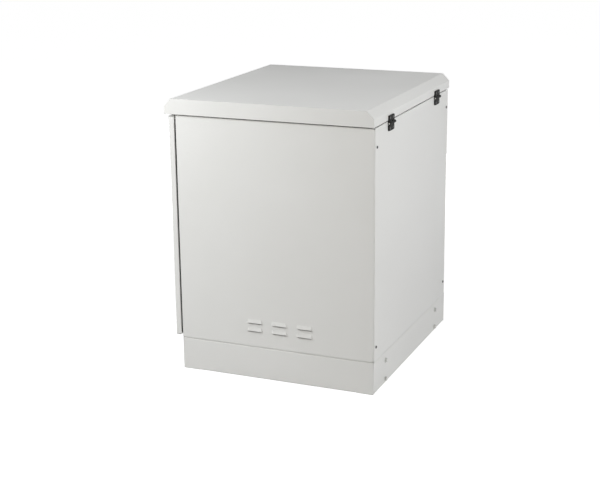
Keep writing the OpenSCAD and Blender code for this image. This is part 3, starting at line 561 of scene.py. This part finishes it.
@dataclass(frozen=True)
class DrawnBrass(Finish):
    """Brass bar, drawn through a die and left bare.

    The eye sees a warm yellow metal with fine streaks along the bar and slightly browner patches.
    """

    aged_colour: str = "#A98A4A"
    streak_mm: float = 1.5
    streak_ratio: float = 30.0
    streak_depth_mm: float = 0.05
    streak_strength: float = 0.4
    patch_mm: float = 25.0
    patch_detail: float = 3.0

    def dress(self, tree: bpy.types.NodeTree, shader: bpy.types.Node, place: bpy.types.NodeSocket) -> None:
        """Add the drawing streaks and the patches.

        Args:
            tree: Node tree of the material.
            shader: Its Principled shader.
            place: Object coordinates.
        """
        long = add_node(
            tree,
            "ShaderNodeMapping",
            inputs={"Vector": place, "Scale": (1.0 / self.streak_ratio, 1.0, 1.0)},
        )
        # Real streaks are a fraction of a millimetre wide, too fine for the render, so they are drawn coarser
        streak = add_node(
            tree,
            "ShaderNodeTexNoise",
            inputs={"Vector": long.outputs["Vector"], "Scale": per_metre(self.streak_mm)},
        )
        patch = add_node(
            tree,
            "ShaderNodeTexNoise",
            inputs={"Vector": place, "Scale": per_metre(self.patch_mm), "Detail": self.patch_detail},
        )
        tone = add_node(
            tree,
            "ShaderNodeMix",
            {"data_type": "RGBA"},
            {0: patch.outputs["Fac"], 6: linear(self.aged_colour), 7: linear(self.colour)},
        )
        tree.links.new(tone.outputs[2], shader.inputs["Base Color"])
        draw = add_node(
            tree,
            "ShaderNodeBump",
            inputs={
                "Strength": self.streak_strength,
                "Distance": self.streak_depth_mm * MM,
                "Height": streak.outputs["Fac"],
            },
        )
        tree.links.new(draw.outputs["Normal"], shader.inputs["Normal"])


FINISHES: dict[Slot, Finish] = {
    Slot.PAINT: PowderCoat("powder_coated_steel", "#DCDCD9", 0.42),
    Slot.ZINC_PLATE: GalvanisedSheet("galvanised_steel_sheet", "#C4C7C8", 0.42, 1.0),
    Slot.BOLT_STEEL: PlatedSteel("zinc_plated_steel", "#D2D2CF", 0.34, 1.0),
    Slot.DARK_STEEL: PlatedSteel("black_zinc_steel", "#626263", 0.4, 1.0, cloud_colour="#505051"),
    Slot.BLACK_HINGE: MouldedNylon("moulded_black_nylon", "#141413", 0.66),
    Slot.SEAL: FoamRubber("cut_foam_rubber", "#151515", 0.9),
    Slot.EARTH_BRASS: DrawnBrass("drawn_brass_bar", "#CFAE68", 0.34, 1.0),
}


class FinishBook:
    """Materials of the finishes, each made once."""

    def __init__(self) -> None:
        """Start with no material made."""
        self.made: dict[Slot, bpy.types.Material] = {}

    def material(self, slot: Slot) -> bpy.types.Material:
        """Find the material of a slot, made when it is first asked for.

        Args:
            slot: Material slot of the record.

        Returns:
            The material of its finish.
        """
        if slot not in self.made:
            self.made[slot] = FINISHES[slot].make()
        return self.made[slot]

    def dress_solids(self) -> None:
        """Give each CAD node the finish of its slot."""
        for node, solid in sorted(frame["nodes"].items()):
            solid.data.materials.clear()
            solid.data.materials.append(self.material(slot_of(node)))
            LOG.info("finish %s on %s", slot_of(node).value, node)


# Meshes that are built from rings of points and stand for a CAD node
def stand_for(
    node: str, suffix: str, bm: bmesh.types.BMesh, book: FinishBook, crease: float
) -> bpy.types.Object:
    """Turn a mesh into an object that takes the place of a CAD node.

    Args:
        node: Name of the node.
        suffix: Ending of the new object's name.
        bm: The mesh, which is freed here.
        book: Materials.
        crease: Edges sharper than this many degrees stay sharp.

    Returns:
        The object, linked to the scene.
    """
    bmesh.ops.recalc_face_normals(bm, faces=bm.faces)
    data = bpy.data.meshes.new(node + suffix)
    bm.to_mesh(data)
    bm.free()
    data.shade_smooth()
    data.set_sharp_from_angle(angle=math.radians(crease))
    data.materials.append(book.material(slot_of(node)))
    piece = bpy.data.objects.new(node + suffix, data)
    bpy.context.scene.collection.objects.link(piece)
    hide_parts(node)
    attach(piece, body_of(node))
    LOG.info("built %s", piece.name)
    return piece


class RingMesh:
    """A mesh of rings around one axis, drawn at one or more places."""

    def __init__(self, steps: int) -> None:
        """Start an empty mesh with this number of points in each ring."""
        self.steps = steps
        self.mesh = bmesh.new()

    def ring(self, shape: Shape, place: Matrix) -> Ring:
        """Add a ring of points.

        Args:
            shape: Gives the radius and height at an angle.
            place: Where the ring's axis and foot are.

        Returns:
            The new points.
        """
        points = []
        for step in range(self.steps):
            angle = 2 * math.pi * step / self.steps
            radius, height = shape(angle)
            spot = Vector((radius * math.cos(angle), radius * math.sin(angle), height))
            points.append(self.mesh.verts.new(place @ spot))
        return points

    def skin(self, shapes: list[Shape], place: Matrix, closed: bool = False) -> None:
        """Join rings by faces.

        Args:
            shapes: One shape for each ring, from the foot to the tip.
            place: Where the rings' axis and foot are.
            closed: Joins the last ring to the first, as in a nut, in place of end caps.
        """
        rings = [self.ring(shape, place) for shape in shapes]
        pairs = list(zip(rings, rings[1:]))
        if closed:
            pairs.append((rings[-1], rings[0]))
        else:
            self.mesh.faces.new(list(reversed(rings[0])))
            self.mesh.faces.new(rings[-1])
        for low, high in pairs:
            for i in range(self.steps):
                j = (i + 1) % self.steps
                self.mesh.faces.new((low[i], low[j], high[j], high[i]))


def circle(radius: float, height: float) -> Shape:
    """Round ring."""
    return lambda angle: (radius, height)


def flats(across: float, angle: float) -> float:
    """Radius of a hexagon at an angle, from its width across flats."""
    return across / 2 / math.cos((angle + math.pi / 6) % (math.pi / 3) - math.pi / 6)


def hexagon(across: float, height: float) -> Shape:
    """Ring with six flats."""
    return lambda angle: (flats(across, angle), height)


def chamfered(across: float, height: float, way: int) -> Shape:
    """Edge of a hexagon that a cone has cut.

    Args:
        across: Width across flats.
        height: Height of the face that the cone leaves round.
        way: 1 for an edge below the face, -1 for one above it.

    Returns:
        Shape of the ring where cone and flats meet.
    """

    def shape(angle: float) -> tuple[float, float]:
        """Radius and height of the cut edge."""
        radius = flats(across, angle)
        return radius, height - way * (radius - FACE_SHARE * across / 2) * CONE_SLOPE

    return shape


def cross(arm: float, half_width: float, height: float) -> Shape:
    """Cross-shaped ring of a driver recess.

    Args:
        arm: Length of an arm from the middle.
        half_width: Half the width of an arm.
        height: Height of the ring.

    Returns:
        Shape of the ring.
    """

    def shape(angle: float) -> tuple[float, float]:
        """Find the radius of the cross, the larger of its two bars.

        Args:
            angle: Angle around the axis.

        Returns:
            Radius and height.
        """
        across = max(abs(math.cos(angle)), TINY)
        along = max(abs(math.sin(angle)), TINY)
        flat_bar = min(arm / across, half_width / along)
        tall_bar = min(half_width / across, arm / along)
        return max(flat_bar, tall_bar), height

    return shape


def threads(diameter: float, low: float, high: float, pitch: float) -> list[Shape]:
    """Rings of a threaded shank.

    Args:
        diameter: Outer diameter.
        low: Height of the tip.
        high: Height of the last thread.
        pitch: Distance between threads.

    Returns:
        Rings from the chamfered tip up.
    """
    crest = diameter / 2
    root = crest - THREAD_DEPTH * pitch
    shapes = [circle(root - TIP_INSET * pitch, low), circle(root, low + TIP_RISE * pitch)]
    count = max(1, int((high - low) / pitch) - 1)
    for i in range(count):
        at = low + (i + FIRST_CREST) * pitch
        shapes += [circle(crest, at - CREST_HALF * pitch), circle(crest, at + CREST_HALF * pitch)]
        shapes += [circle(root, at + ROOT_AFTER * pitch)]
    return shapes + [circle(crest, high)]


# Fasteners, each set standing for one CAD node
@dataclass
class Fasteners:
    """A set of equal fasteners that replaces a CAD node, at the places of its solids."""

    node: str
    axis: Axis
    steps: int = 48
    crease: float = 35.0

    def heading(self, middle: Vector) -> Vector:
        """Find the way in which a head looks.

        Args:
            middle: Middle of the fastener.

        Returns:
            A direction of length one.
        """
        if self.axis in FIXED_WAYS:
            return Vector(FIXED_WAYS[self.axis])
        away = Vector((0.0, math.copysign(1.0, middle.y), 0.0))
        return away if self.axis is Axis.OUTWARD else -away

    def seats(self) -> list[Matrix]:
        """Find where the fasteners sit.

        Returns:
            For each one, a placing whose origin is the middle of its outermost face and whose Z leads out.
        """
        places = []
        for low, high in islands(self.node):
            middle = (low + high) / 2
            way = self.heading(middle)
            reach = sum(abs(way[i]) * (high[i] - low[i]) / 2 for i in range(3))
            turn = way.to_track_quat("Z", "Y").to_matrix().to_4x4()
            places.append(Matrix.Translation(middle + way * reach) @ turn)
        return places

    def draw(self, mesh: RingMesh, place: Matrix) -> None:
        """Add one fastener.

        Args:
            mesh: Mesh that takes it.
            place: Middle of its outermost face, with Z leading out.
        """
        raise NotImplementedError(self.node)

    def build(self, book: FinishBook) -> bpy.types.Object:
        """Build the set and put it in place of its CAD node.

        Args:
            book: Materials.

        Returns:
            The new object.
        """
        mesh = RingMesh(self.steps)
        for place in self.seats():
            self.draw(mesh, place)
        return stand_for(self.node, "_formed", mesh.mesh, book, self.crease)


@dataclass
class CrossScrews(Fasteners):
    """Screws with a cross recess, whose sizes are shares of the head's radius and height."""

    head_d: float = 9.5 * MM
    head_h: float = 3 * MM
    shank_d: float = 5 * MM
    shank_l: float = 9 * MM
    pitch: float = 0.8 * MM
    head: Head = Head.DOMED
    steps: int = 72
    recess_arm: float = 0.52
    recess_width: float = 0.14
    recess_depth: float = 0.6
    recess_taper: float = 0.8

    def draw(self, mesh: RingMesh, place: Matrix) -> None:
        """Add one screw.

        Args:
            mesh: Mesh that takes it.
            place: Middle of the head's top, with Z leading out.
        """
        radius = self.head_d / 2
        seat = -self.head_h
        arm = self.recess_arm * radius
        width = self.recess_width * radius
        depth = self.recess_depth * self.head_h
        taper = self.recess_taper
        shapes = threads(self.shank_d, seat - self.shank_l, seat, self.pitch)
        shapes += [circle(share * radius, -below * self.head_h) for share, below in self.head.value]
        shapes += [cross(arm, width, 0.0), cross(taper * arm, taper * width, -depth)]
        mesh.skin(shapes, place)


@dataclass
class HexBolts(Fasteners):
    """Hexagon bolts, with a washer where it has a thickness.

    Collar and dish are shares of half the width across flats, rises of the head's height.
    """

    across: float = 13 * MM
    head_h: float = 5.3 * MM
    shank_d: float = 8 * MM
    shank_l: float = 16 * MM
    washer_d: float = 18 * MM
    washer_t: float = 1.6 * MM
    pitch: float = 1.25 * MM
    washer_soft: float = 0.25
    collar: float = 0.94
    collar_rise: float = 0.05
    flats_rise: float = 0.06
    dish: float = 0.5

    def draw(self, mesh: RingMesh, place: Matrix) -> None:
        """Add one bolt.

        Args:
            mesh: Mesh that takes it.
            place: Middle of the head's top, with Z leading out.
        """
        half = self.across / 2
        under = -self.head_h
        seat = under - self.washer_t
        shapes = threads(self.shank_d, seat - self.shank_l, seat, self.pitch)
        if self.washer_t > 0:
            rim = self.washer_d / 2
            soft = self.washer_soft * self.washer_t
            shapes += [circle(rim - soft, seat), circle(rim, seat + soft)]
            shapes += [circle(rim, under - soft), circle(rim - soft, under)]
        rise = under + self.collar_rise * self.head_h
        shapes += [circle(self.collar * half, under), circle(self.collar * half, rise)]
        shapes += [hexagon(self.across, under + self.flats_rise * self.head_h)]
        shapes += [chamfered(self.across, 0.0, 1)]
        shapes += [circle(FACE_SHARE * half, 0.0), circle(self.dish * half, 0.0)]
        mesh.skin(shapes, place)


@dataclass
class HexNuts(Fasteners):
    """Hexagon nuts, cut by a cone on both faces and countersunk.

    The countersink is a share of the bore, its depth of the width across flats.
    """

    across: float = 13 * MM
    height: float = 6.5 * MM
    bore_d: float = 8.1 * MM
    sink: float = 1.08
    sink_depth: float = 0.05

    def draw(self, mesh: RingMesh, place: Matrix) -> None:
        """Add one nut.

        Args:
            mesh: Mesh that takes it.
            place: Middle of its outer face, with Z leading out.
        """
        bore = self.bore_d / 2
        sink = self.sink * bore
        face = FACE_SHARE * self.across / 2
        depth = self.sink_depth * self.across
        low = -self.height
        shapes = [circle(bore, -depth), circle(sink, 0.0), circle(face, 0.0), chamfered(self.across, 0.0, 1)]
        shapes += [chamfered(self.across, low, -1), circle(face, low), circle(sink, low)]
        shapes += [circle(bore, low + depth)]
        mesh.skin(shapes, place, closed=True)


@dataclass
class Insulators(Fasteners):
    """Waisted insulating stand-offs of the earth bar, with grooves between ribs.

    A groove is given by shares of the radius and of the distance between grooves.
    """

    radius: float = 8 * MM
    length: float = 22 * MM
    grooves: int = 3
    first: float = 0.5
    groove: tuple[tuple[float, float], ...] = ((1.0, 0.1), (0.82, 0.3), (0.82, 0.7), (1.0, 0.9))
    soft: float = 0.8 * MM

    def draw(self, mesh: RingMesh, place: Matrix) -> None:
        """Add one stand-off.

        Args:
            mesh: Mesh that takes it.
            place: Middle of its outer end, with Z leading out.
        """
        foot = -self.length
        gap = self.length / (self.grooves + 1)
        shapes = [circle(self.radius - self.soft, foot), circle(self.radius, foot + self.soft)]
        for i in range(self.grooves):
            at = foot + (i + self.first) * gap
            shapes += [circle(share * self.radius, at + rise * gap) for share, rise in self.groove]
        shapes += [circle(self.radius, -self.soft), circle(self.radius - self.soft, 0.0)]
        mesh.skin(shapes, place)


# Seals
@dataclass
class FoamSeal:
    """A ring of foam seal that replaces a plain CAD ring, with bulging sides and rounded corners.

    The ring lies along two axes, given by number, and is as thick as the solid along the third one. The bulge
    of its sides is a share of that thickness.
    """

    node: str
    across: tuple[int, int]
    out: int
    width: float
    bulge: float = 0.25
    corner: float = 4 * MM
    corner_steps: int = 8
    crease: float = 50.0

    def section(self, thickness: float) -> list[tuple[float, float]]:
        """Outline of the seal.

        Args:
            thickness: Height of the seal above what carries it.

        Returns:
            Points of distance from the outer edge, and height.
        """
        bulge = self.bulge * thickness
        outer = [(bulge, 0.0), (0.0, thickness / 2), (bulge, thickness)]
        return outer + [(self.width - inset, height) for inset, height in reversed(outer)]

    def build(self, book: FinishBook) -> bpy.types.Object:
        """Build the seal and put it in place of its CAD node.

        Args:
            book: Materials.

        Returns:
            The new object.
        """
        low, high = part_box(self.node)
        first, second = self.across
        bm = bmesh.new()
        loops = []
        for inset, height in self.section(high[self.out] - low[self.out]):
            radius = self.corner + self.width - inset
            loop = []
            for quarter, (a, b) in enumerate(((1, 1), (-1, 1), (-1, -1), (1, -1))):
                for step in range(self.corner_steps + 1):
                    angle = math.pi / 2 * (quarter + step / self.corner_steps)
                    spot = Vector((0.0, 0.0, 0.0))
                    for axis, way, share in ((first, a, math.cos(angle)), (second, b, math.sin(angle))):
                        edge = high[axis] - inset if way > 0 else low[axis] + inset
                        spot[axis] = edge - way * radius + radius * share
                    spot[self.out] = low[self.out] + height
                    loop.append(bm.verts.new(spot))
            loops.append(loop)
        for here, there in zip(loops, loops[1:] + loops[:1]):
            for i in range(len(here)):
                j = (i + 1) % len(here)
                bm.faces.new((here[i], here[j], there[j], there[i]))
        return stand_for(self.node, "_foam", bm, book, self.crease)


# Studio and camera
@dataclass(frozen=True)
class Softbox:
    """A square area lamp that looks at a point, in metres and watts."""

    name: str
    place: tuple[float, float, float]
    target: tuple[float, float, float]
    side: float
    power: float
    colour: str = WHITE
    mirrored: bool = True

    def build(self) -> bpy.types.Object:
        """Add the lamp.

        Returns:
            The lamp object.
        """
        data = bpy.data.lights.new(self.name, "AREA")
        data.shape = "SQUARE"
        data.size = self.side
        data.energy = self.power
        data.color = linear(self.colour)[:3]
        lamp = bpy.data.objects.new(self.name, data)
        lamp.location = self.place
        aim = Vector(self.target) - Vector(self.place)
        lamp.rotation_euler = aim.to_track_quat("-Z", "Y").to_euler()
        lamp.visible_camera = False
        lamp.visible_glossy = self.mirrored
        bpy.context.scene.collection.objects.link(lamp)
        LOG.info("lamp %s", self.name)
        return lamp


@dataclass
class Studio:
    """White surround, pale floor and soft lamps."""

    floor_half: float = 30.0
    floor_drop: float = 0.5 * MM
    floor_colour: str = "#D8D8D8"
    near_lift: float = 0.66
    far_lift: float = 0.9
    near_reach: float = 0.9
    far_reach: float = 2.2
    world_level: float = 0.14
    white_level: float = 1.0
    lamps: tuple[Softbox, ...] = (
        Softbox("key_softbox", (1.35, -1.15, 1.55), (0.4, -0.2, 0.75), 0.8, 27.8, "#FAFCFF", mirrored=False),
        Softbox("fill_softbox", (3.2, 1.3, 1.7), (0.4, 0.1, 0.6), 2.0, 20.6, "#FFF6EB"),
        Softbox("rear_softbox", (0.35, 2.4, 1.9), (0.1, 0.35, 0.6), 1.2, 40.2, "#FBFCFF", mirrored=False),
        Softbox("left_softbox", (-3.2, -0.9, 0.5), (-0.4, -0.1, 0.5), 0.9, 38.0),
        Softbox("front_softbox", (-0.6, -3.4, 0.6), (-0.1, -0.4, 0.5), 1.2, 13.0, mirrored=False),
    )

    def shown(self, tree: bpy.types.NodeTree) -> bpy.types.NodeSocket:
        """Tell rays that show a background, from the camera, in gloss or through glass, from rays of light.

        Args:
            tree: Node tree that takes the nodes.

        Returns:
            A socket that is one for rays that show the background, and zero for others.
        """
        path = add_node(tree, "ShaderNodeLightPath")
        gloss = add_node(
            tree,
            "ShaderNodeMath",
            {"operation": "MAXIMUM"},
            {0: path.outputs["Is Camera Ray"], 1: path.outputs["Is Glossy Ray"]},
        )
        both = add_node(
            tree,
            "ShaderNodeMath",
            {"operation": "MAXIMUM"},
            {0: gloss.outputs[0], 1: path.outputs["Is Transmission Ray"]},
        )
        return both.outputs[0]

    def surround(self) -> None:
        """Make the world: a plain level of light that shows as white."""
        world = bpy.data.worlds.new("white_surround")
        world.use_nodes = True
        tree = world.node_tree
        tree.nodes.clear()
        light = add_node(
            tree, "ShaderNodeBackground", inputs={"Color": linear(WHITE), "Strength": self.world_level}
        )
        white = add_node(
            tree, "ShaderNodeBackground", inputs={"Color": linear(WHITE), "Strength": self.white_level}
        )
        mix = add_node(
            tree,
            "ShaderNodeMixShader",
            inputs={0: self.shown(tree), 1: light.outputs[0], 2: white.outputs[0]},
        )
        add_node(tree, "ShaderNodeOutputWorld", inputs={"Surface": mix.outputs[0]})
        bpy.context.scene.world = world

    def floor(self) -> bpy.types.Object:
        """Make the floor, pale and lifted to white for the camera, less so near the object for its shadow.

        Returns:
            The floor object.
        """
        material = bpy.data.materials.new("pale_floor")
        material.use_nodes = True
        tree = material.node_tree
        tree.nodes.clear()
        matt = add_node(tree, "ShaderNodeBsdfDiffuse", inputs={"Color": linear(self.floor_colour)})
        place = add_node(tree, "ShaderNodeTexCoord").outputs["Object"]
        reach = add_node(tree, "ShaderNodeVectorMath", {"operation": "LENGTH"}, {0: place})
        level = add_node(
            tree,
            "ShaderNodeMapRange",
            {"interpolation_type": "SMOOTHSTEP"},
            {
                "Value": reach.outputs["Value"],
                "From Min": self.near_reach,
                "From Max": self.far_reach,
                "To Min": self.near_lift,
                "To Max": self.far_lift,
            },
        )
        glow = add_node(
            tree,
            "ShaderNodeMath",
            {"operation": "MULTIPLY"},
            {0: self.shown(tree), 1: level.outputs["Result"]},
        )
        lift = add_node(tree, "ShaderNodeEmission", inputs={"Strength": glow.outputs[0]})
        both = add_node(tree, "ShaderNodeAddShader", inputs={0: matt.outputs[0], 1: lift.outputs[0]})
        add_node(tree, "ShaderNodeOutputMaterial", inputs={"Surface": both.outputs[0]})
        half = self.floor_half
        drop = -self.floor_drop
        corners = [(-half, -half, drop), (half, -half, drop), (half, half, drop), (-half, half, drop)]
        data = bpy.data.meshes.new("studio_floor")
        data.from_pydata(corners, [], [(0, 1, 2, 3)])
        data.materials.append(material)
        sheet = bpy.data.objects.new("studio_floor", data)
        bpy.context.scene.collection.objects.link(sheet)
        return sheet

    def build(self) -> None:
        """Add surround, floor and lamps."""
        self.surround()
        self.floor()
        for lamp in self.lamps:
            lamp.build()
        bpy.context.scene.view_settings.view_transform = "Standard"


@dataclass
class PhotoCamera:
    """Camera at the photograph's viewing angle, in metres and degrees, with its lens in millimetres."""

    place: tuple[float, float, float] = (4.2225, 1.7009, 1.687)
    heading: float = 112.81
    tilt: float = 15.86
    roll: float = -0.59
    lens: float = 79.2
    sensor: float = 36.0
    far_clip: float = 200.0

    def build(self) -> bpy.types.Object:
        """Add the camera and make it the scene's own.

        Returns:
            The camera object.
        """
        data = bpy.data.cameras.new("photo_camera")
        data.lens = self.lens
        data.sensor_width = self.sensor
        data.clip_end = self.far_clip
        camera = bpy.data.objects.new("photo_camera", data)
        turn = (
            Matrix.Rotation(math.radians(self.heading), 4, "Z")
            @ Matrix.Rotation(math.radians(90 - self.tilt), 4, "X")
            @ Matrix.Rotation(math.radians(self.roll), 4, "Z")
        )
        camera.matrix_world = Matrix.Translation(self.place) @ turn
        bpy.context.scene.collection.objects.link(camera)
        bpy.context.scene.camera = camera
        return camera


FASTENERS: tuple[Fasteners, ...] = (
    CrossScrews("rear_screws", Axis.REAR),
    *(
        CrossScrews(
            node,
            Axis.REAR,
            head_d=8 * MM,
            head_h=2.2 * MM,
            shank_d=4 * MM,
            shank_l=6.3 * MM,
            pitch=0.7 * MM,
            head=Head.FLAT,
        )
        for node in ("lid_hinge_lower_screws", "lid_hinge_upper_screws")
    ),
    CrossScrews("gland_screws", Axis.UP, head_d=9 * MM, shank_l=10 * MM),
    CrossScrews("equipment_rail_screws", Axis.FRONT, head_d=9 * MM, shank_l=7 * MM),
    HexBolts("plinth_bolts", Axis.OUTWARD),
    HexBolts("plate_bolts", Axis.FRONT, shank_l=15 * MM, washer_d=16 * MM),
    HexBolts(
        "earth_screws",
        Axis.FRONT,
        across=10 * MM,
        head_h=4 * MM,
        shank_d=6 * MM,
        shank_l=12 * MM,
        washer_t=0.0,
        pitch=1.0 * MM,
    ),
    *(
        HexBolts(
            node,
            Axis.REAR,
            across=10 * MM,
            head_h=4 * MM,
            shank_d=5 * MM,
            shank_l=9.5 * MM,
            washer_d=16 * MM,
            washer_t=1.5 * MM,
            pitch=0.8 * MM,
        )
        for node in ("upper_cam_screw", "lower_cam_screw")
    ),
    HexNuts("plinth_nuts", Axis.INWARD),
    HexNuts("plate_nuts", Axis.REAR),
    HexNuts("lock_nuts", Axis.REAR, across=28 * MM, height=5 * MM, bore_d=22.1 * MM),
    Insulators("earth_standoffs", Axis.FRONT),
)

SEALS: tuple[FoamSeal, ...] = (
    FoamSeal("lid_gasket", (0, 1), 2, 12 * MM),
    FoamSeal("door_gasket", (0, 2), 1, 10 * MM),
    FoamSeal("gland_gasket", (0, 1), 2, 16 * MM),
)


def main() -> None:
    """Dress the solids, build the finer pieces, then light and frame them."""
    logging.basicConfig(level=logging.INFO, format="%(message)s")
    book = FinishBook()
    book.dress_solids()
    for seal in SEALS:
        seal.build(book)
    for fastener in FASTENERS:
        fastener.build(book)
    Studio().build()
    PhotoCamera().build()


if __name__ == "__main__":
    main()
